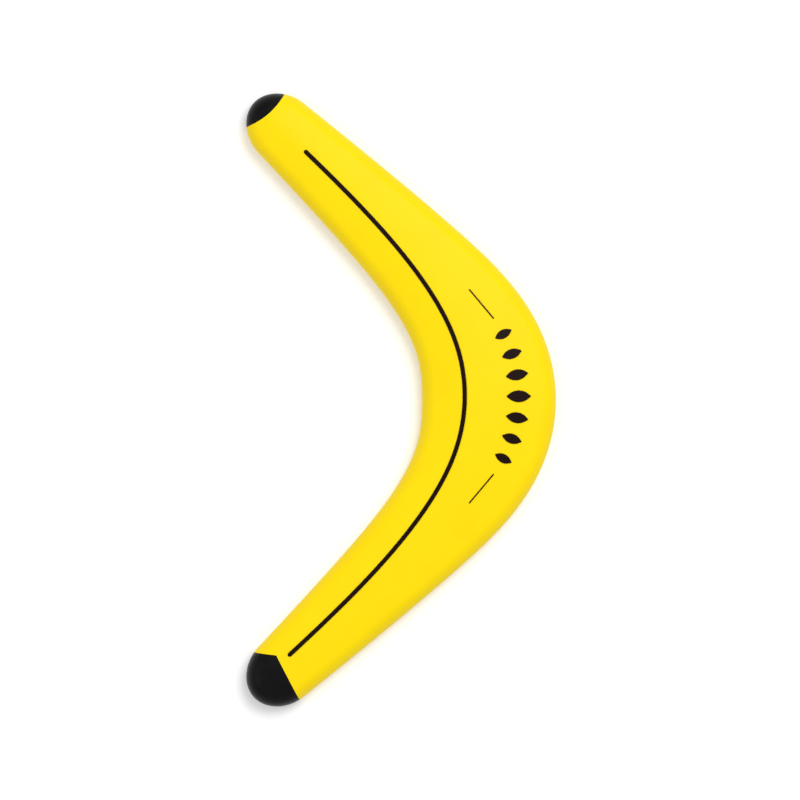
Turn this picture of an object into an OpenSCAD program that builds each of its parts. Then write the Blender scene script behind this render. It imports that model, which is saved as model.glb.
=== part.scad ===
// Soft throwing boomerang: two moulded foam halves glued round a stiffening spine,
// with a rubber cap on each tip and printed film on the crown.
// The flat underside lies on Z = 0. Y runs from the blossom tip (-Y) to the stem tip (+Y),
// and the elbow points to +X. Distances "along" are measured on the centreline from the elbow.

/* [Outline] */
// Length of each arm along its centreline, from the elbow to the tip
arm_len = 177.5; // [165:0.5:210]
// Angle that each arm turns away from the line across the elbow
arm_angle = 47.6; // [40:0.1:54]
// Distance along the centreline over which each arm turns
bend_len = 54; // [48:1:66]
// How suddenly the bend ends and the arm runs straight
bend_power = 3.2; // [2:0.1:5]
// Full width across the elbow
elbow_w = 61.2; // [54:0.2:72]
// Full width at the root of the arms, without the swelling at the elbow
root_w = 48.6; // [42:0.2:54]
// Full width that the arms' taper ends on at the tips
tip_w = 28.2; // [26:0.2:36]
// Distance along the centreline over which the elbow's swelling fades
swell_len = 50; // [40:1:64]
// Length of the rounded end of each arm
tip_len = 16.4; // [13:0.2:20]

/* [Thickness] */
// Height of the plane where the two halves are glued together
split_h = 7; // [6:0.5:9]
// Rise of the upper half's rim above that plane
rim_h = 7; // [6:0.5:9]
// Width of the rim's rounding, seen from above
rim_r = 6; // [4:0.5:8]
// Extra height of the crown over the rim, at the elbow
crown_h = 5; // [3:0.5:7]
// Shape of the crown: 1 is a roof with a ridge, 2 a round vault
crown_power = 1.6; // [1.4:0.1:2]
// Radius of the rounding along the lower edge
under_r = 4; // [2:0.5:5]

/* [Crest] */
// How far the crest lies inside the centreline along the arms
crest_arm = 1.7; // [0:0.1:3]
// How much further in the crest ends at the blossom tip, and further out at the stem tip
crest_lean = 1.7; // [0:0.1:3]
// How far the crest lies inside the centreline at the elbow
crest_elbow = 11.2; // [6:0.1:14]
// Distance along the centreline over which the crest moves out to the arms
crest_len = 71; // [50:1:80]
// How far the crest's innermost point lies from the elbow, towards the blossom
crest_shift = 3; // [0:0.5:8]

/* [Spine] */
// Thickness of the spine plate
spine_t = 2.4; // [1.6:0.2:3]
// Width of the spine plate along the arms
spine_w = 23; // [21:0.5:25]
// Distance from the blossom cap's corner back to the shoulders where the tenons start
shoulder_gap = 6.7; // [5:0.1:9]
// Length over which the plate narrows to a tenon
shoulder_len = 8; // [5:0.5:9]
// Width of the tenons that hold the caps
tenon_w = 9; // [7:0.5:11]
// How far each tenon's end lies short of the tip
tenon_short = 5; // [4:0.5:6.5]
// Gap round the spine plate in its recess
spine_fit = 0.25; // [0.15:0.05:0.4]
// Diameter of the locating pegs on the plate
peg_d = 6; // [4:0.5:8]
// Height of the locating pegs
peg_h = 5; // [3:0.5:6]
// Gap round and above each peg in its socket
peg_fit = 0.2; // [0.1:0.05:0.4]
// Plate left between a ballast disc and the outer peg
peg_gap = 9.5; // [6:0.5:12]
// Width of the windows where the foam halves meet through the plate
window_w = 9; // [6:0.5:12]
// Plate left between a window and the pegs on either side
window_gap = 9; // [6:0.5:12]
// Gap between a window's edge and the foam key that fills it
key_fit = 0.3; // [0.2:0.1:0.5]

/* [Ballast] */
// Diameter of the steel ballast discs
disc_d = 15; // [10:0.5:16]
// Gap round each disc in its seat
disc_fit = 0.15; // [0.1:0.05:0.3]
// Plate left between a disc and the narrowing at the shoulder
disc_gap = 2.5; // [2:0.5:5]

/* [Caps] */
// Length of the stem cap at its longest
stem_cap_len = 8.9; // [8:0.1:10.5]
// Radius of the curved face between the stem cap and the foam
stem_seat_r = 30; // [24:1:50]
// How far outward that curved face's deepest point lies
stem_seat_off = 4; // [0:0.5:6]
// Length of the blossom cap at its corner
blossom_cap_len = 20.8; // [19:0.1:22]
// How far inside the centreline that corner lies
blossom_corner = 7.2; // [5:0.2:9]
// Slope of the blossom cap's edge from the corner to the inner side
blossom_inner_slope = 41; // [30:1:46]
// Slope of the blossom cap's edge from the corner to the outer side
blossom_outer_slope = 15.5; // [8:0.5:20]

/* [Print] */
// Thickness of the printed film
film_t = 0.3; // [0.2:0.05:0.5]
// Thickness of the adhesive under the film
glue_t = 0.05; // [0.05:0.01:0.1]
// Width of the stripe along the crest
stripe_w = 2; // [1.4:0.1:3]
// Distance from the stripe's end to the stem cap
stripe_stem_gap = 23.2; // [10:0.2:40]
// Distance from the stripe's end to the blossom cap's corner
stripe_blossom_gap = 3.9; // [2:0.1:20]
// Radius of the arc that the row of marks follows
row_r = 60.5; // [52:0.5:66]
// Distance of the row from the elbow's outer edge
row_in = 17.2; // [14:0.2:22]
// How far the middle of the row lies towards the stem
row_shift = 1.7; // [-4:0.1:4]
// Angle between neighbouring marks
mark_pitch = 9.3; // [8:0.1:10.5]
// Height of the middle mark
mark_h = 11; // [8:0.2:13]
// Width of the middle mark
mark_w = 5.4; // [4:0.2:7]
// Width of the marks' blunt ends
mark_tip = 0.5; // [0.3:0.1:1]
// Size of the last marks of the row, as a share of the middle one
mark_fade = 0.75; // [0.5:0.05:1]
// Angle from the row's middle to each dash
dash_at = 44; // [42:0.5:50]
// Length of each dash
dash_len = 17.3; // [10:0.1:20]
// Width of each dash
dash_w = 0.6; // [0.5:0.1:1.2]
// Angle that each dash turns outward, away from the row's arc
dash_lean = 4; // [0:0.5:8]

/* [Hidden] */

STEM = 1;
BLOSSOM = -1;
foam_yellow = [0.99, 0.87, 0.02];
cap_black = [0.03, 0.03, 0.03];
print_black = [0.06, 0.02, 0.01];
plate_grey = [0.82, 0.83, 0.8];
$fn = 64;
mark_count = 7;

// How far a cutter runs past what it cuts, and how near two points count as one
overrun = 1;
same_point = 0.001;

// Steps of the lofts: rows along an arm, rows round a tip, and columns across
arm_rows = 24;
tip_rows = 6;
cols = 20;

/* --- Centreline --- */

path_steps = 180;
path_ds = arm_len / path_steps;

// Heading of the centreline, turned from +Y
function heading(s) = let (
        t = s / bend_len
    ) arm_angle * t / pow(1 + pow(abs(t), bend_power), 1 / bend_power);

// The centreline of one arm, as [distance, x, y] from the elbow
path = [for (
    i = 0, x = 0, y = 0;
    i <= path_steps;
    i = i + 1,
    x = x - path_ds * sin(heading((i - 0.5) * path_ds)),
    y = y + path_ds * cos(heading((i - 0.5) * path_ds))
) [i * path_ds, x, y]];
path_x = [for (p = path) [p[0], p[1]]];
path_y = [for (p = path) [p[0], p[2]]];

function outward(s) = [cos(heading(s)), sin(heading(s))];
function along(s) = [-sin(heading(s)), cos(heading(s))];
function on_path(s) = [lookup(abs(s), path_x), sign(s) * lookup(abs(s), path_y)];

/* --- Width --- */

// How far into the rounded tip a distance lies: 0 on the arm, 1 at the very end
function tip_share(s) = max(0, 1 - (arm_len - abs(s)) / tip_len);

function soft_dist(s) = sqrt(s * s + bend_len * bend_len) - bend_len;
function swell(s) = exp(-pow(s / swell_len, 2));

// Half the width before the tip is rounded, and with the rounded tip
function full_half(s) = tip_w / 2 + (root_w - tip_w) / 2 * (1 - soft_dist(s) / soft_dist(arm_len))
    + (elbow_w - root_w) / 2 * swell(s);
function half(s) = full_half(s) * sqrt(max(0, 1 - pow(tip_share(s), 2)));

// The origin lies in the middle of the outline's box
edge_x = [for (s = [arm_len - 2 * tip_len:0.5:arm_len], side = [-1, 1])
    on_path(s).x + side * half(s) * outward(s).x];
elbow_x = -(elbow_w / 2 + min(edge_x)) / 2;

// A point of the plan: distance along the centreline, and distance outward from it
function plan(s, lat) = [elbow_x, 0] + on_path(s) + lat * outward(s);

// The distance along the centreline of the foot of a plan point, by repeated correction
foot_tries = 8;
function foot(p, s, tries) = tries == 0 ? s : foot(p, s + (p - plan(s, 0)) * along(s), tries - 1);

/* --- Heights --- */

function crest_lat(s) = -crest_arm + crest_lean * s / arm_len
    - (crest_elbow - crest_arm) * exp(-pow((s + crest_shift) / crest_len, 2));
function crest_share(s) = crest_lat(s) / full_half(s);

// How near a point is to the edge: 0 on the centreline, 1 on the outline
function nearness(s, v) = sqrt(max(0, 1 - (1 - pow(tip_share(s), 2)) * (1 - v * v)));
function quarter_round(t) = sqrt(max(0, 1 - pow(max(0, t), 2)));
function from_crest(v, vc) = v > vc ? (v - vc) / (1 - vc) : (vc - v) / (1 + vc);

// Height of the dome and of the underside, where v is the share of the half width
function dome_z(s, v) = let (
        flat = 1 - rim_r / full_half(s),
        near = nearness(s, v),
        rim = quarter_round((near - flat) / (1 - flat)),
        rise = crown_h * full_half(s) / (elbow_w / 2) * (1 - pow(tip_share(s), 2))
    ) split_h + rim_h * rim + rise * (1 - pow(min(1, from_crest(v, crest_share(s))), crown_power));
function under_z(s, v) = let (
        flat = 1 - under_r / full_half(s),
        near = nearness(s, v)
    ) under_r * (1 - quarter_round((near - flat) / (1 - flat)));

// Height of the dome over a plan point
function dome_over(p) = let (
        s = foot(p, p.y, foot_tries),
        lat = (p - plan(s, 0)) * outward(s)
    ) dome_z(s, lat / half(s));

/* --- Lofts --- */

arm_stations = [for (i = [-arm_rows:arm_rows]) i * (arm_len - tip_len) / arm_rows];
tip_stations = [for (i = [1:tip_rows]) arm_len - tip_len * (1 - sin(90 * i / tip_rows))];
stations = concat([for (i = [tip_rows - 1:-1:0]) -tip_stations[i]], arm_stations, tip_stations);

// Share of the half width at a column: denser near the edges, with the crest on the middle column
function column(s, c) = let (
        g = sin(90 * (2 * c / cols - 1)),
        vc = crest_share(s)
    ) g < 0 ? vc + g * (1 + vc) : vc + g * (1 - vc);

function dome_point(s, v) = concat(plan(s, v * half(s)), dome_z(s, v));
function under_point(s, v) = concat(plan(s, v * half(s)), under_z(s, v));
function split_point(s, v) = concat(plan(s, v * half(s)), split_h);

function dome_row(s) = [for (c = [0:cols]) dome_point(s, column(s, c))];
function under_row(s) = [for (c = [cols:-1:0]) under_point(s, column(s, c))];

// The first point of a ring that coincides with point c, so that a tip closes on shared points
function shared(ring, c) = [for (j = [0:c]) if (norm(ring[j] - ring[c]) < same_point) j][0];

// A closed solid through rings of equal length
module loft(rings) {
    n = len(rings[0]);
    last = len(rings) - 1;
    id = [for (r = [0:last]) [for (c = [0:n - 1]) r * n + (r == 0 || r == last ? shared(rings[r], c) : c)]];
    sides = [for (r = [0:last - 1], c = [0:n - 1], t = [
        [id[r][c], id[r + 1][c], id[r + 1][(c + 1) % n]],
        [id[r][c], id[r + 1][(c + 1) % n], id[r][(c + 1) % n]]
    ]) t];
    // Each end is closed by a ladder between the ring's two halves
    ends = [for (c = [0:floor(n / 2) - 2], t = [
        [id[0][c], id[0][c + 1], id[0][n - 2 - c]],
        [id[0][c], id[0][n - 2 - c], id[0][n - 1 - c]],
        [id[last][c + 1], id[last][c], id[last][n - 1 - c]],
        [id[last][c + 1], id[last][n - 1 - c], id[last][n - 2 - c]]
    ]) t];
    polyhedron(
        points = [for (ring = rings, p = ring) p],
        faces = [for (t = concat(sides, ends)) if (t[0] != t[1] && t[1] != t[2] && t[2] != t[0]) t]
    );
}

// The foam above and below the glued plane, and the full thickness near one tip
module above_split() {
    loft([for (s = stations) dome_row(s)]);
}

module below_split() {
    loft([for (s = stations) concat(under_row(s), [split_point(s, -1), split_point(s, 1)])]);
}

module whole_tip(end, reach) {
    rows = [for (s = stations) if (end * s > arm_len - reach) s];
    loft([for (s = rows) concat(dome_row(s), under_row(s))]);
}

/* --- Seats of the caps --- */

cut_h = split_h + rim_h + crown_h + 2 * overrun;

// Places a shape at a tip: X points outward from the centreline, Y runs on past the tip
module at_tip(end) {
    mirror([0, end == BLOSSOM ? 1 : 0, 0])
        translate(concat(plan(arm_len, 0), -overrun))
            rotate(heading(arm_len))
                children();
}

// The space of the stem cap, behind a curved face
module stem_seat() {
    at_tip(STEM)
        translate([stem_seat_off, stem_seat_r - stem_cap_len, 0])
            cylinder(r = stem_seat_r, h = cut_h);
}

// The space of the blossom cap, behind two flat faces that meet at a corner
module blossom_seat() {
    side = tip_w;
    past = blossom_cap_len + tip_w;
    at_tip(BLOSSOM)
        translate([-blossom_corner, -blossom_cap_len, 0])
            linear_extrude(cut_h)
                polygon([
                    [0, 0],
                    [side, side * tan(blossom_outer_slope)],
                    [side, past],
                    [-side, past],
                    [-side, side * tan(blossom_inner_slope)]
                ]);
}

/* --- Spine and its recess --- */

// Distances along the centreline: tenon end, shoulder, disc and outer peg
spine_end = arm_len - tenon_short;
shoulder_at = arm_len - blossom_cap_len - shoulder_gap;
disc_at = shoulder_at - shoulder_len - disc_gap - disc_d / 2;
outer_peg_at = disc_at - disc_d / 2 - peg_gap - peg_d / 2;

// Two pegs on each arm and one at the elbow, with a window between each pair of pegs
peg_step = outer_peg_at / 2;
peg_places = [for (i = [-2:2]) i * peg_step];
window_places = [for (i = [-1.5:1.5]) i * peg_step];
window_len = peg_step - peg_d - window_w - 2 * window_gap;
spine_rows = 90;

function ramp(t) = (1 - cos(180 * max(0, min(1, t)))) / 2;
function spine_half(s) = spine_w / 2
    - (spine_w - tenon_w) / 2 * ramp((abs(s) - shoulder_at + shoulder_len) / shoulder_len);

// The plate's outline, grown by a gap
module spine_outline(gap) {
    reach = spine_end + gap;
    rows = [for (i = [0:spine_rows]) reach * (2 * i / spine_rows - 1)];
    polygon(concat(
        [for (s = rows) plan(s, spine_half(s) + gap)],
        [for (i = [spine_rows:-1:0]) plan(rows[i], -spine_half(rows[i]) - gap)]
    ));
}

module at_distance(s, z) {
    translate(concat(plan(s, 0), z)) rotate(heading(s)) children();
}

// A round-ended block along the centreline, grown by a gap
module window(s, z, h, gap) {
    at_distance(s, z) {
        translate([-window_w / 2 - gap, -window_len / 2, 0])
            cube([window_w + 2 * gap, window_len, h]);
        for (end = [-1, 1])
            translate([0, end * window_len / 2, 0])
                cylinder(d = window_w + 2 * gap, h = h);
    }
}

module spine_recess() {
    translate([0, 0, split_h - spine_t])
        linear_extrude(spine_t + spine_fit)
            spine_outline(spine_fit);
}

/* --- Film on the dome --- */

// A strip of film through rows of plan points, laid on the dome
module film(rows) {
    n = len(rows[0]) - 1;
    loft([for (row = rows) concat(
        [for (i = [0:n]) concat(row[i], dome_over(row[i]) + glue_t + film_t)],
        [for (i = [n:-1:0]) concat(row[i], dome_over(row[i]) + glue_t)]
    )]);
}

row_centre = [elbow_x + elbow_w / 2 - row_in - row_r, row_shift];

// A plan point given in the frame of the row at an angle: x outward, y along the arc
function on_row(angle, x, y) = row_centre
    + (row_r + x) * [cos(angle), sin(angle)] + y * [-sin(angle), cos(angle)];

/* --- Parts --- */

module upper_half() {
    color(foam_yellow)
        difference() {
            above_split();
            stem_seat();
            blossom_seat();
            for (s = peg_places)
                at_distance(s, split_h - overrun)
                    cylinder(d = peg_d + 2 * peg_fit, h = overrun + peg_h + peg_fit);
        }
}

module lower_half() {
    color(foam_yellow)
        difference() {
            below_split();
            stem_seat();
            blossom_seat();
            difference() {
                spine_recess();
                for (s = window_places)
                    window(s, 0, split_h + overrun, -key_fit);
            }
        }
}

module spine_plate() {
    color(plate_grey) {
        difference() {
            translate([0, 0, split_h - spine_t])
                linear_extrude(spine_t)
                    spine_outline(0);
            for (s = window_places)
                window(s, 0, split_h + overrun, 0);
            for (s = [-disc_at, disc_at])
                at_distance(s, 0)
                    cylinder(d = disc_d + 2 * disc_fit, h = split_h + overrun);
        }
        for (s = peg_places)
            at_distance(s, split_h - spine_t / 2)
                cylinder(d = peg_d, h = spine_t / 2 + peg_h);
    }
}

module ballast(s) {
    color("silver")
        at_distance(s, split_h - spine_t)
            cylinder(d = disc_d, h = spine_t);
}

module stem_ballast() {
    ballast(disc_at);
}

module blossom_ballast() {
    ballast(-disc_at);
}

module stem_cap() {
    color(cap_black)
        difference() {
            intersection() {
                whole_tip(STEM, 2 * stem_cap_len + tip_len);
                stem_seat();
            }
            spine_recess();
        }
}

module blossom_cap() {
    color(cap_black)
        difference() {
            intersection() {
                whole_tip(BLOSSOM, blossom_cap_len + tip_len);
                blossom_seat();
            }
            spine_recess();
        }
}

// The stripe follows the crest and ends in half circles
stripe_rows = 72;
stripe_end_rows = 5;
module crest_stripe() {
    r = stripe_w / 2;
    first = -(arm_len - blossom_cap_len - stripe_blossom_gap) + r;
    last = arm_len - stem_cap_len - stripe_stem_gap - r;
    straight = [for (i = [0:stripe_rows]) first + (last - first) * i / stripe_rows];
    turn = [for (i = [1:stripe_end_rows]) 90 * i / (stripe_end_rows + 1)];
    start = [for (i = [stripe_end_rows - 1:-1:0]) [first - r * sin(turn[i]), r * cos(turn[i])]];
    finish = [for (a = turn) [last + r * sin(a), r * cos(a)]];
    rows = concat(start, [for (s = straight) [s, r]], finish);
    color(print_black)
        film([for (q = rows) [for (side = [-1, 0, 1]) plan(q[0], crest_lat(q[0]) + side * q[1])]]);
}

// A thin bar beside the row of marks
dash_rows = 6;
module dash(end) {
    color(print_black)
        film([for (i = [-dash_rows:dash_rows]) let (
                y = dash_len / 2 * i / dash_rows,
                x = end * y * sin(dash_lean)
            ) [on_row(end * dash_at, x - dash_w / 2, y), on_row(end * dash_at, x + dash_w / 2, y)]]);
}

module stem_dash() {
    dash(STEM);
}

module blossom_dash() {
    dash(BLOSSOM);
}

// A leaf-shaped mark between two arcs, standing across the row
leaf_rows = 8;
module leaf_mark(number) {
    place = number - (mark_count + 1) / 2;
    size = 1 - (1 - mark_fade) * abs(place) / ((mark_count - 1) / 2);
    h = mark_h * size;
    w = mark_w * size;
    arc_r = (h * h + w * w) / (4 * w);
    color(print_black)
        film([for (i = [-leaf_rows:leaf_rows]) let (
                x = h / 2 * i / leaf_rows,
                y = max(mark_tip / 2, sqrt(arc_r * arc_r - x * x) - arc_r + w / 2)
            ) [for (side = [1, 0, -1]) on_row(-place * mark_pitch, x, side * y)]]);
}

upper_half();
lower_half();
spine_plate();
stem_ballast();
blossom_ballast();
stem_cap();
blossom_cap();
crest_stripe();
stem_dash();
blossom_dash();
leaf_mark(1);  // leaf_mark_1
leaf_mark(2);  // leaf_mark_2
leaf_mark(3);  // leaf_mark_3
leaf_mark(4);  // leaf_mark_4
leaf_mark(5);  // leaf_mark_5
leaf_mark(6);  // leaf_mark_6
leaf_mark(7);  // leaf_mark_7
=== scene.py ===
import math
import bpy
import numpy as np
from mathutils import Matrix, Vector


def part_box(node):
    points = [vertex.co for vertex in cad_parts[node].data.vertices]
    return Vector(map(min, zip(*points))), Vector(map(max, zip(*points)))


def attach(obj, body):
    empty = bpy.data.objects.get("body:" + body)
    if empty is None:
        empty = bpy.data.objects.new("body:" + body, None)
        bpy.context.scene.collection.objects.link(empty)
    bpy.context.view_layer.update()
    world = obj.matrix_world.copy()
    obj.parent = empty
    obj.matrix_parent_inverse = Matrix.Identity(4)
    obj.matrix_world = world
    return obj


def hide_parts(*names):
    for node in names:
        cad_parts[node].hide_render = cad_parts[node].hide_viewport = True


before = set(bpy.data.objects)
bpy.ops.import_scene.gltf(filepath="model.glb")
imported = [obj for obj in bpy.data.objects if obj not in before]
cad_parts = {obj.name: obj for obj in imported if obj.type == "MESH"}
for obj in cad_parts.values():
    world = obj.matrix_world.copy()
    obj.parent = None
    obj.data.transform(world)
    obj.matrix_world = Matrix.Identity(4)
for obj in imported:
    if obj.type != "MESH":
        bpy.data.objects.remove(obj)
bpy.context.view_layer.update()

print("frame loaded,", len(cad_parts), "nodes")

mm = 0.001
bpy.context.scene.view_settings.view_transform = "Standard"


# Helpers for the pieces

clean = {
    "nodeMerge": 0.005 * mm,         # points of a node's loose triangles
    "flatness": math.radians(40),    # triangles joined to quads
    "squareness": math.radians(60),
    "skinMerge": 0.002 * mm,
    "sliver": 0.001 * mm,
    "bevelAngle": math.radians(50),
}


def deselect():
    if bpy.context.object and bpy.context.object.mode == "EDIT":
        bpy.ops.object.mode_set(mode="OBJECT")
    bpy.ops.object.select_all(action="DESELECT")


def pick(piece):
    deselect()
    piece.select_set(True)
    bpy.context.view_layer.objects.active = piece


def startEditing(piece, selectMode="VERT"):
    pick(piece)
    bpy.ops.object.mode_set(mode="EDIT")
    bpy.ops.mesh.select_mode(type=selectMode)
    bpy.ops.mesh.select_all(action="SELECT")


def stopEditing():
    bpy.ops.object.mode_set(mode="OBJECT")


def applyAll(piece):
    pick(piece)
    for modifier in list(piece.modifiers):
        bpy.ops.object.modifier_apply(modifier=modifier.name)


def getPoints(piece):
    points = np.empty(len(piece.data.vertices) * 3)
    piece.data.vertices.foreach_get("co", points)
    return points.reshape(-1, 3)


def setPoints(piece, points):
    piece.data.vertices.foreach_set("co", np.asarray(points, dtype=float).ravel())
    piece.data.update()


def duplicatePiece(source, name):
    piece = bpy.data.objects.new(name, source.data.copy())
    piece.data.name = name
    bpy.context.scene.collection.objects.link(piece)
    return piece


def copyNode(node, name):
    piece = duplicatePiece(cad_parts[node], name)
    piece.data.materials.clear()
    startEditing(piece)
    bpy.ops.mesh.remove_doubles(threshold=clean["nodeMerge"])
    bpy.ops.mesh.tris_convert_to_quads(
        face_threshold=clean["flatness"], shape_threshold=clean["squareness"])
    stopEditing()
    return piece


def discard(*pieces):
    for piece in pieces:
        bpy.data.objects.remove(piece)


def cutWith(piece, cutter, operation="DIFFERENCE"):
    modifier = piece.modifiers.new("cut", "BOOLEAN")
    modifier.object = cutter
    modifier.operation = operation
    modifier.solver = "EXACT"
    applyAll(piece)


def shadeSmooth(piece, angle):
    pick(piece)
    bpy.ops.object.shade_smooth_by_angle(angle=math.radians(angle))


def softenEdges(piece, width, segments, smoothAngle):
    bevel = piece.modifiers.new("edges", "BEVEL")
    bevel.width = width
    bevel.segments = segments
    bevel.limit_method = "ANGLE"
    bevel.angle_limit = clean["bevelAngle"]
    bevel.use_clamp_overlap = False
    applyAll(piece)
    shadeSmooth(piece, smoothAngle)


def finishPiece(piece, slotName, material, *nodes):
    piece.data.materials.clear()
    piece.data.materials.append(material)
    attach(piece, "root")
    if nodes:
        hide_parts(*nodes)


# The wing's shape: the laws that the frame's solids follow

wing = {
    "armLength": 177.5 * mm,     # centreline, elbow to tip
    "armAngle": math.radians(47.6),
    "bendLength": 54 * mm,
    "bendPower": 3.2,
    "elbowWidth": 61.2 * mm,
    "rootWidth": 48.6 * mm,
    "tipWidth": 28.2 * mm,
    "swellLength": 50 * mm,
    "tipLength": 16.4 * mm,
    "rimHeight": 7 * mm,
    "rimReach": 6 * mm,
    "crownHeight": 5 * mm,
    "crownPower": 1.6,
    "underRadius": 4 * mm,
    "crestArm": 1.7 * mm,
    "crestLean": 1.7 * mm,
    "crestElbow": 11.2 * mm,
    "crestLength": 71 * mm,
    "crestShift": 3 * mm,
    "pathStep": 0.5 * mm,
}

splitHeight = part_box("upper_half")[0].z
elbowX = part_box("upper_half")[1].x - wing["elbowWidth"] / 2


def heading(s):
    turn = s / wing["bendLength"]
    return wing["armAngle"] * turn / (1 + np.abs(turn) ** wing["bendPower"]) ** (1 / wing["bendPower"])


pathCount = round(wing["armLength"] / wing["pathStep"])
pathS = np.linspace(0, wing["armLength"], pathCount + 1)
pathHeading = heading((pathS[1:] + pathS[:-1]) / 2)
pathX = elbowX - np.concatenate([[0], np.cumsum(np.sin(pathHeading) * np.diff(pathS))])
pathY = np.concatenate([[0], np.cumsum(np.cos(pathHeading) * np.diff(pathS))])


def plan(s, side):
    angle = heading(s)
    x = np.interp(np.abs(s), pathS, pathX) + side * np.cos(angle)
    y = np.sign(s) * np.interp(np.abs(s), pathS, pathY) + side * np.sin(angle)
    return x, y


def tipShare(s):
    return np.maximum(0, 1 - (wing["armLength"] - np.abs(s)) / wing["tipLength"])


def fullHalf(s):
    soft = lambda d: np.sqrt(d * d + wing["bendLength"] ** 2) - wing["bendLength"]
    taper = 1 - soft(s) / soft(wing["armLength"])
    swell = np.exp(-(s / wing["swellLength"]) ** 2)
    return (wing["tipWidth"] + (wing["rootWidth"] - wing["tipWidth"]) * taper
            + (wing["elbowWidth"] - wing["rootWidth"]) * swell) / 2


def halfWidth(s):
    return fullHalf(s) * np.sqrt(np.maximum(0, 1 - tipShare(s) ** 2))


def crestShare(s):
    fade = np.exp(-((s + wing["crestShift"]) / wing["crestLength"]) ** 2)
    side = (-wing["crestArm"] + wing["crestLean"] * s / wing["armLength"]
            - (wing["crestElbow"] - wing["crestArm"]) * fade)
    return side / fullHalf(s)


def nearness(s, v):
    return np.sqrt(np.maximum(0, 1 - (1 - tipShare(s) ** 2) * (1 - v * v)))


def quarterRound(t):
    return np.sqrt(np.maximum(0, 1 - np.maximum(0, t) ** 2))


def domeHeight(s, v):
    flat = 1 - wing["rimReach"] / fullHalf(s)
    rim = quarterRound((nearness(s, v) - flat) / (1 - flat))
    crest = crestShare(s)
    fromCrest = np.where(v > crest, (v - crest) / (1 - crest), (crest - v) / (1 + crest))
    rise = wing["crownHeight"] * fullHalf(s) / (wing["elbowWidth"] / 2) * (1 - tipShare(s) ** 2)
    crown = rise * (1 - np.minimum(1, fromCrest) ** wing["crownPower"])
    return splitHeight + wing["rimHeight"] * rim + crown


def underHeight(s, v):
    flat = 1 - wing["underRadius"] / fullHalf(s)
    return wing["underRadius"] * (1 - quarterRound((nearness(s, v) - flat) / (1 - flat)))


# The body's skins: a grid spread over the wing

skin = {
    "rows": 300,
    "columns": 56,
    "armShare": 0.9,     # share of the rows on the arms, the rest round the tips
}


def spreadGrid(name, height):
    deselect()
    bpy.ops.mesh.primitive_grid_add(
        x_subdivisions=skin["columns"], y_subdivisions=skin["rows"], size=2)
    piece = bpy.context.object
    piece.name = piece.data.name = name
    points = getPoints(piece)
    t = points[:, 1]
    g = np.sin(np.pi / 2 * points[:, 0])
    onArm = t / skin["armShare"] * (wing["armLength"] - wing["tipLength"])
    turn = np.clip((np.abs(t) - skin["armShare"]) / (1 - skin["armShare"]), 0, 1)
    onTip = np.sign(t) * (wing["armLength"] - wing["tipLength"] * (1 - np.sin(np.pi / 2 * turn)))
    s = np.where(np.abs(t) < skin["armShare"], onArm, onTip)
    crest = crestShare(s)
    v = np.where(g < 0, crest + g * (1 + crest), crest + g * (1 - crest))
    x, y = plan(s, v * halfWidth(s))
    setPoints(piece, np.column_stack([x, y, height(s, v)]))
    startEditing(piece)
    bpy.ops.mesh.remove_doubles(threshold=clean["skinMerge"])
    bpy.ops.mesh.dissolve_degenerate(threshold=clean["sliver"])
    stopEditing()
    return piece


def selectRim(piece):
    startEditing(piece)
    bpy.ops.mesh.select_all(action="DESELECT")
    bpy.ops.mesh.select_non_manifold()


domeSkin = spreadGrid("domeSkin", domeHeight)
underSkin = spreadGrid("underSkin", underHeight)

upperHalf = duplicatePiece(domeSkin, "upperHalf")
selectRim(upperHalf)
bpy.ops.mesh.edge_face_add()
stopEditing()

lowerHalf = duplicatePiece(underSkin, "lowerHalf")
selectRim(lowerHalf)
wallHeight = splitHeight - wing["underRadius"]
bpy.ops.mesh.extrude_edges_move(TRANSFORM_OT_translate={"value": (0, 0, wallHeight)})
bpy.ops.mesh.edge_face_add()
stopEditing()

for piece in (upperHalf, lowerHalf):
    startEditing(piece)
    bpy.ops.mesh.normals_make_consistent(inside=False)
    stopEditing()


def joinHalves(name):
    top = duplicatePiece(upperHalf, "topCopy")
    whole = duplicatePiece(lowerHalf, name)
    cutWith(whole, top, "UNION")
    discard(top)
    return whole


wholeWing = joinHalves("wholeWing")
print("skins spread,", len(wholeWing.data.polygons), "faces")


# Cutters for the seats of the caps

stemCap = {
    "length": 8.9 * mm,        # centreline to tip
    "seatRadius": 30 * mm,
    "seatOffset": 4 * mm,
}

blossomCap = {
    "length": 20.8 * mm,
    "corner": 7.2 * mm,        # corner's distance inward from the centreline
    "innerSlope": math.radians(41),
    "outerSlope": math.radians(15.5),
}

cutterHeight = 40 * mm
cutterRounding = 360         # sides of the curved seat's cutter


def placeAtTip(cutter, end):
    points = getPoints(cutter)
    x, y = plan(wing["armLength"], 0)
    turn = float(heading(wing["armLength"]))
    turned = points.copy()
    turned[:, 0] = x + points[:, 0] * math.cos(turn) - points[:, 1] * math.sin(turn)
    turned[:, 1] = end * (y + points[:, 0] * math.sin(turn) + points[:, 1] * math.cos(turn))
    setPoints(cutter, turned)
    startEditing(cutter)
    bpy.ops.mesh.normals_make_consistent(inside=False)
    stopEditing()


deselect()
bpy.ops.mesh.primitive_cylinder_add(
    vertices=cutterRounding, radius=stemCap["seatRadius"], depth=cutterHeight, end_fill_type="NGON")
stemCutter = bpy.context.object
setPoints(stemCutter, getPoints(stemCutter)
          + [stemCap["seatOffset"], stemCap["seatRadius"] - stemCap["length"], 0])
placeAtTip(stemCutter, 1)

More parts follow.
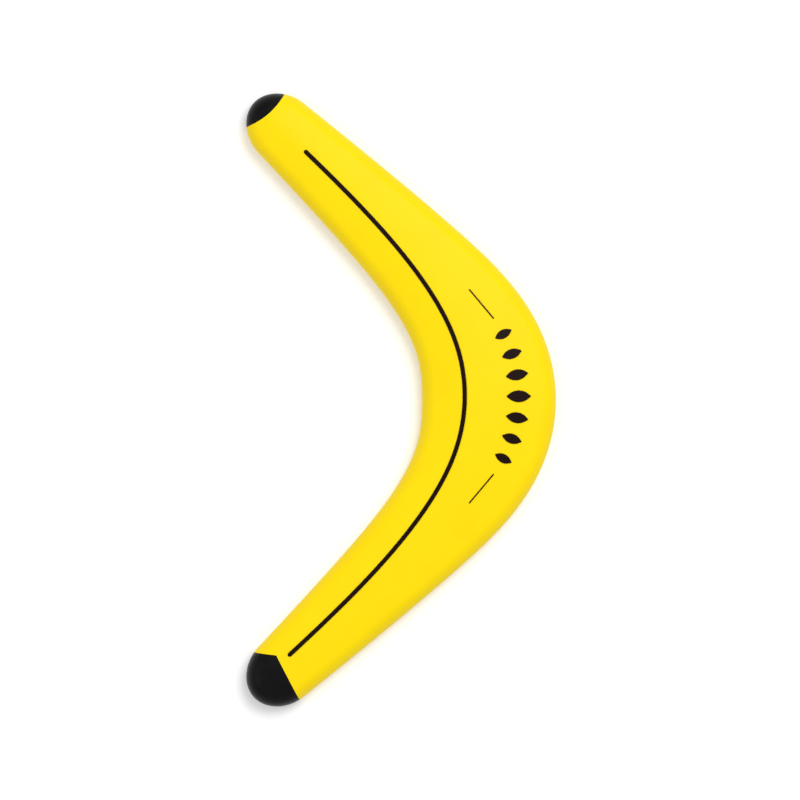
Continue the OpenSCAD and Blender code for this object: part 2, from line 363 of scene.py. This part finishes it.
deselect()
bpy.ops.mesh.primitive_circle_add(vertices=5, radius=wing["tipWidth"], fill_type="NGON")
blossomCutter = bpy.context.object
side = wing["tipWidth"]
past = blossomCap["length"] + wing["tipWidth"]
setPoints(blossomCutter, np.array([
    [0, 0, 0],
    [side, side * math.tan(blossomCap["outerSlope"]), 0],
    [side, past, 0],
    [-side, past, 0],
    [-side, side * math.tan(blossomCap["innerSlope"]), 0],
]) + [-blossomCap["corner"], -blossomCap["length"], -cutterHeight / 2])
startEditing(blossomCutter, "FACE")
bpy.ops.mesh.extrude_region_move(TRANSFORM_OT_translate={"value": (0, 0, cutterHeight)})
stopEditing()
placeAtTip(blossomCutter, -1)


# Cutters for the spine's recess, the pegs and the discs

recess = {
    "spineGap": 0.25 * mm,
    "discGap": 0.4 * mm,
    "pegDrop": 0.3 * mm,     # lowers the cutter, so that only pegs cut the upper half
}


def growCutter(cutter, gap):
    startEditing(cutter)
    bpy.ops.transform.shrink_fatten(value=gap, use_even_offset=True)
    stopEditing()


def growCopy(node, name, gap):
    cutter = copyNode(node, name)
    growCutter(cutter, gap)
    return cutter


spineCutter = growCopy("spine_plate", "spineCutter", recess["spineGap"])
discCutters = [growCopy(node, node + "Cutter", recess["discGap"])
               for node in ("stem_ballast", "blossom_ballast")]



# The caps and the foam halves that they close

foam = {
    "seamWidth": 0.3 * mm,     # rounding where the halves meet
    "seamSegments": 3,
    "smoothAngle": 40,
}

caps = {
    "joint": 0.06 * mm,        # open line between cap and foam
    "smoothAngle": 40,
}

stemCapPiece = duplicatePiece(wholeWing, "stemCap")
cutWith(stemCapPiece, stemCutter, "INTERSECT")
blossomCapPiece = wholeWing
blossomCapPiece.name = "blossomCap"
cutWith(blossomCapPiece, blossomCutter, "INTERSECT")
for cap in (stemCapPiece, blossomCapPiece):
    cutWith(cap, spineCutter)
    shadeSmooth(cap, caps["smoothAngle"])
for cutter in (stemCutter, blossomCutter):
    growCutter(cutter, caps["joint"])
for half in (upperHalf, lowerHalf):
    softenEdges(half, foam["seamWidth"], foam["seamSegments"], foam["smoothAngle"])
    cutWith(half, stemCutter)
    cutWith(half, blossomCutter)
for cutter in (spineCutter, *discCutters):
    cutWith(lowerHalf, cutter)
setPoints(spineCutter, getPoints(spineCutter) - [0, 0, recess["pegDrop"]])
cutWith(upperHalf, spineCutter)
discard(stemCutter, blossomCutter, spineCutter, *discCutters)
print("caps and halves cut")


# The printed film, laid over the dome

film = {
    "thickness": 0.3 * mm,
    "gap": 0.05 * mm,
    "edgeWidth": 0.08 * mm,
    "subdivisions": 3,
}

filmNodes = ["crest_stripe", "stem_dash", "blossom_dash"] + ["leaf_mark_%d" % n for n in range(1, 8)]


def layFilm(node):
    piece = copyNode(node, node + "Film")
    startEditing(piece, "FACE")
    bpy.ops.mesh.select_all(action="DESELECT")
    bpy.ops.object.mode_set(mode="OBJECT")
    for face in piece.data.polygons:
        face.select = face.normal.z < 0.5
    bpy.ops.object.mode_set(mode="EDIT")
    bpy.ops.mesh.delete(type="FACE")
    stopEditing()
    subdivision = piece.modifiers.new("subdivision", "SUBSURF")
    subdivision.levels = subdivision.render_levels = film["subdivisions"]
    subdivision.boundary_smooth = "PRESERVE_CORNERS"
    lay = piece.modifiers.new("lay", "SHRINKWRAP")
    lay.target = domeSkin
    lay.wrap_method = "PROJECT"
    lay.use_project_z = True
    lay.use_negative_direction = True
    lay.use_positive_direction = True
    lay.offset = film["gap"]
    solid = piece.modifiers.new("solid", "SOLIDIFY")
    solid.thickness = film["thickness"]
    solid.offset = 1
    solid.use_even_offset = True
    applyAll(piece)
    softenEdges(piece, film["edgeWidth"], 2, 40)
    return piece


filmPieces = {node: layFilm(node) for node in filmNodes}
discard(domeSkin, underSkin)
print("film laid")


# Materials

def newMaterial(name):
    material = bpy.data.materials.new(name)
    material.use_nodes = True
    tree = material.node_tree
    shader = tree.nodes["Principled BSDF"]
    coordinates = tree.nodes.new("ShaderNodeTexCoord")
    return material, tree, shader, coordinates


def addNoise(tree, coordinates, size, detail=3.0, roughness=0.5):
    noise = tree.nodes.new("ShaderNodeTexNoise")
    noise.inputs["Scale"].default_value = 1 / size
    noise.inputs["Detail"].default_value = detail
    noise.inputs["Roughness"].default_value = roughness
    tree.links.new(coordinates.outputs["Object"], noise.inputs["Vector"])
    return noise.outputs["Fac"]


def addRange(tree, value, low, high, fromLow=0.3, fromHigh=0.7):
    ranged = tree.nodes.new("ShaderNodeMapRange")
    ranged.inputs["From Min"].default_value = fromLow
    ranged.inputs["From Max"].default_value = fromHigh
    ranged.inputs["To Min"].default_value = low
    ranged.inputs["To Max"].default_value = high
    tree.links.new(value, ranged.inputs["Value"])
    return ranged.outputs["Result"]


def addRamp(tree, value, stops):
    ramp = tree.nodes.new("ShaderNodeValToRGB")
    while len(ramp.color_ramp.elements) < len(stops):
        ramp.color_ramp.elements.new(0.5)
    for element, (place, colour) in zip(ramp.color_ramp.elements, stops):
        element.position = place
        element.color = (*colour, 1)
    tree.links.new(value, ramp.inputs["Fac"])
    return ramp.outputs["Color"]


def addBump(tree, shader, layers):
    last = None
    for value, distance, strength in layers:
        bump = tree.nodes.new("ShaderNodeBump")
        bump.inputs["Distance"].default_value = distance
        bump.inputs["Strength"].default_value = strength
        tree.links.new(value, bump.inputs["Height"])
        if last:
            tree.links.new(last, bump.inputs["Normal"])
        last = bump.outputs["Normal"]
    tree.links.new(last, shader.inputs["Normal"])


foamFinish = {
    "yellow": (0.990, 0.735, 0.0003),
    "deepYellow": (0.985, 0.715, 0.0002),
    "mottleSize": 18 * mm,
    "skinSize": 0.8 * mm,
    "skinDepth": 0.02 * mm,
    "waveSize": 7 * mm,
    "waveDepth": 0.05 * mm,
    "roughness": (0.42, 0.52),
    "specular": 0.12,
}


def makeFoam(name):
    material, tree, shader, coordinates = newMaterial(name)
    mottle = addNoise(tree, coordinates, foamFinish["mottleSize"], 4)
    grain = addNoise(tree, coordinates, foamFinish["skinSize"], 2)
    wave = addNoise(tree, coordinates, foamFinish["waveSize"], 1)
    colour = addRamp(tree, mottle, [(0.35, foamFinish["deepYellow"]), (0.6, foamFinish["yellow"])])
    tree.links.new(colour, shader.inputs["Base Color"])
    tree.links.new(addRange(tree, grain, *foamFinish["roughness"]), shader.inputs["Roughness"])
    shader.inputs["Specular IOR Level"].default_value = foamFinish["specular"]
    addBump(tree, shader, [
        (wave, foamFinish["waveDepth"], 0.3),
        (grain, foamFinish["skinDepth"], 0.6),
    ])
    return material


rubberFinish = {
    "black": (0.0014, 0.0014, 0.0015),
    "greyBlack": (0.0028, 0.0028, 0.0030),
    "grainSize": 0.5 * mm,
    "grainDepth": 0.02 * mm,
    "blotchSize": 5 * mm,
    "roughness": (0.28, 0.36),
    "specular": 0.09,
}


def makeRubber(name):
    material, tree, shader, coordinates = newMaterial(name)
    blotch = addNoise(tree, coordinates, rubberFinish["blotchSize"], 3)
    grain = addNoise(tree, coordinates, rubberFinish["grainSize"], 2)
    colour = addRamp(tree, blotch, [(0.4, rubberFinish["black"]), (0.65, rubberFinish["greyBlack"])])
    tree.links.new(colour, shader.inputs["Base Color"])
    tree.links.new(addRange(tree, blotch, *rubberFinish["roughness"]), shader.inputs["Roughness"])
    shader.inputs["Specular IOR Level"].default_value = rubberFinish["specular"]
    addBump(tree, shader, [(grain, rubberFinish["grainDepth"], 0.5)])
    return material


filmFinish = {
    "brown": (0.0075, 0.0015, 0.0002),
    "thinBrown": (0.0105, 0.0024, 0.0003),
    "inkSize": 2 * mm,
    "grainSize": 0.3 * mm,
    "grainDepth": 0.01 * mm,
    "roughness": (0.36, 0.46),
    "specular": 0.06,
}


def makeFilm(name):
    material, tree, shader, coordinates = newMaterial(name)
    ink = addNoise(tree, coordinates, filmFinish["inkSize"], 3)
    grain = addNoise(tree, coordinates, filmFinish["grainSize"], 1)
    colour = addRamp(tree, ink, [(0.4, filmFinish["brown"]), (0.65, filmFinish["thinBrown"])])
    tree.links.new(colour, shader.inputs["Base Color"])
    tree.links.new(addRange(tree, grain, *filmFinish["roughness"]), shader.inputs["Roughness"])
    shader.inputs["Specular IOR Level"].default_value = filmFinish["specular"]
    addBump(tree, shader, [(grain, filmFinish["grainDepth"], 0.4)])
    return material


spineFinish = {
    "natural": (0.55, 0.54, 0.50),
    "milky": (0.62, 0.61, 0.57),
    "flowSize": 12 * mm,
    "grainSize": 0.6 * mm,
    "grainDepth": 0.01 * mm,
    "glowDepth": 1 * mm,
    "roughness": (0.38, 0.5),
}


def makeSpine(name):
    material, tree, shader, coordinates = newMaterial(name)
    flow = addNoise(tree, coordinates, spineFinish["flowSize"], 4)
    grain = addNoise(tree, coordinates, spineFinish["grainSize"], 2)
    colour = addRamp(tree, flow, [(0.4, spineFinish["natural"]), (0.65, spineFinish["milky"])])
    tree.links.new(colour, shader.inputs["Base Color"])
    tree.links.new(addRange(tree, grain, *spineFinish["roughness"]), shader.inputs["Roughness"])
    shader.inputs["Subsurface Weight"].default_value = 0.1
    shader.inputs["Subsurface Scale"].default_value = spineFinish["glowDepth"]
    addBump(tree, shader, [(grain, spineFinish["grainDepth"], 0.5)])
    return material


steelFinish = {
    "steel": (0.42, 0.43, 0.44),
    "brightSteel": (0.55, 0.56, 0.57),
    "patchSize": 3 * mm,
    "scratchSize": 0.25 * mm,
    "scratchDepth": 0.005 * mm,
    "roughness": (0.25, 0.4),
}


def makeSteel(name):
    material, tree, shader, coordinates = newMaterial(name)
    patches = addNoise(tree, coordinates, steelFinish["patchSize"], 4)
    scratches = addNoise(tree, coordinates, steelFinish["scratchSize"], 2)
    colour = addRamp(tree, patches, [(0.4, steelFinish["steel"]), (0.65, steelFinish["brightSteel"])])
    tree.links.new(colour, shader.inputs["Base Color"])
    tree.links.new(addRange(tree, scratches, *steelFinish["roughness"]), shader.inputs["Roughness"])
    shader.inputs["Metallic"].default_value = 1
    addBump(tree, shader, [(scratches, steelFinish["scratchDepth"], 0.5)])
    return material


foamMaterial = makeFoam("yellowFoamSkin")
rubberMaterial = makeRubber("blackCapRubber")
filmMaterial = makeFilm("brownBlackPrint")
spineMaterial = makeSpine("naturalSpinePlastic")
steelMaterial = makeSteel("zincedSteelDisc")

finishPiece(upperHalf, "foam", foamMaterial, "upper_half")
finishPiece(lowerHalf, "foam", foamMaterial, "lower_half")
finishPiece(stemCapPiece, "cap", rubberMaterial, "stem_cap")
finishPiece(blossomCapPiece, "cap", rubberMaterial, "blossom_cap")
for node, piece in filmPieces.items():
    finishPiece(piece, "film", filmMaterial, node)

for node, material in (
    ("spine_plate", spineMaterial),
    ("stem_ballast", steelMaterial),
    ("blossom_ballast", steelMaterial),
):
    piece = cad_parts[node]
    piece.data.materials.clear()
    piece.data.materials.append(material)
print("materials set")


# Floor, world and lamps

studio = {
    "floorColour": (0.88, 0.88, 0.88),
    "floorGlow": 0.22,
    "floorSize": 12,
    "floorDrop": 0.0003,     # keeps it off the flat underside
    "worldLevel": 0.585,
    "key": {"power": 28, "size": 1.3, "distance": 2.4, "turn": 52, "rise": 62},
    "fill": {"power": 6, "size": 2.0, "distance": 2.4, "turn": 190, "rise": 45},
}

deselect()
bpy.ops.mesh.primitive_plane_add(size=studio["floorSize"], location=(0, 0, -studio["floorDrop"]))
floor = bpy.context.object
floor.name = "floor"
floorMaterial = bpy.data.materials.new("whiteFloor")
floorMaterial.use_nodes = True
tree = floorMaterial.node_tree
floorShader = tree.nodes["Principled BSDF"]
floorShader.inputs["Base Color"].default_value = (*studio["floorColour"], 1)
floorShader.inputs["Roughness"].default_value = 0.9
floorShader.inputs["Specular IOR Level"].default_value = 0
rays = tree.nodes.new("ShaderNodeLightPath")


def seenBy(tree, rays):
    first = tree.nodes.new("ShaderNodeMath")
    first.operation = "MAXIMUM"
    tree.links.new(rays.outputs["Is Camera Ray"], first.inputs[0])
    tree.links.new(rays.outputs["Is Glossy Ray"], first.inputs[1])
    second = tree.nodes.new("ShaderNodeMath")
    second.operation = "MAXIMUM"
    tree.links.new(first.outputs[0], second.inputs[0])
    tree.links.new(rays.outputs["Is Transmission Ray"], second.inputs[1])
    return second.outputs[0]


glow = addRange(tree, seenBy(tree, rays), 0, studio["floorGlow"], 0, 1)
floorShader.inputs["Emission Color"].default_value = (1, 1, 1, 1)
tree.links.new(glow, floorShader.inputs["Emission Strength"])
floor.data.materials.append(floorMaterial)

world = bpy.data.worlds.new("studioWorld")
bpy.context.scene.world = world
world.use_nodes = True
tree = world.node_tree
background = tree.nodes["Background"]
background.inputs["Color"].default_value = (1, 1, 1, 1)
rays = tree.nodes.new("ShaderNodeLightPath")
level = addRange(tree, seenBy(tree, rays), studio["worldLevel"], 1, 0, 1)
tree.links.new(level, background.inputs["Strength"])


def addLamp(name, power, size, distance, turn, rise):
    lamp = bpy.data.lights.new(name, "AREA")
    lamp.energy = power
    lamp.shape = "DISK"
    lamp.size = size
    turn, rise = math.radians(turn), math.radians(rise)
    piece = bpy.data.objects.new(name, lamp)
    bpy.context.scene.collection.objects.link(piece)
    aim = Vector((math.cos(rise) * math.cos(turn), math.cos(rise) * math.sin(turn), math.sin(rise)))
    piece.location = aim * distance
    piece.rotation_euler = piece.location.to_track_quat("Z", "Y").to_euler()
    piece.visible_camera = False
    return piece


for name in ("key", "fill"):
    addLamp(name + "Lamp", **studio[name])


# Camera, straight above the middle of the wing

cameraSetup = {
    "height": 3.0,
    "sensor": 36,
    "across": -0.0005,
    "viewWidth": 0.3655,      # metres seen across at the dome
}

camera = bpy.data.objects.new("camera", bpy.data.cameras.new("camera"))
bpy.context.scene.collection.objects.link(camera)
camera.location = (cameraSetup["across"], 0, cameraSetup["height"])
camera.data.sensor_width = cameraSetup["sensor"]
camera.data.lens = cameraSetup["sensor"] * (cameraSetup["height"] - splitHeight) / cameraSetup["viewWidth"]
bpy.context.scene.camera = camera
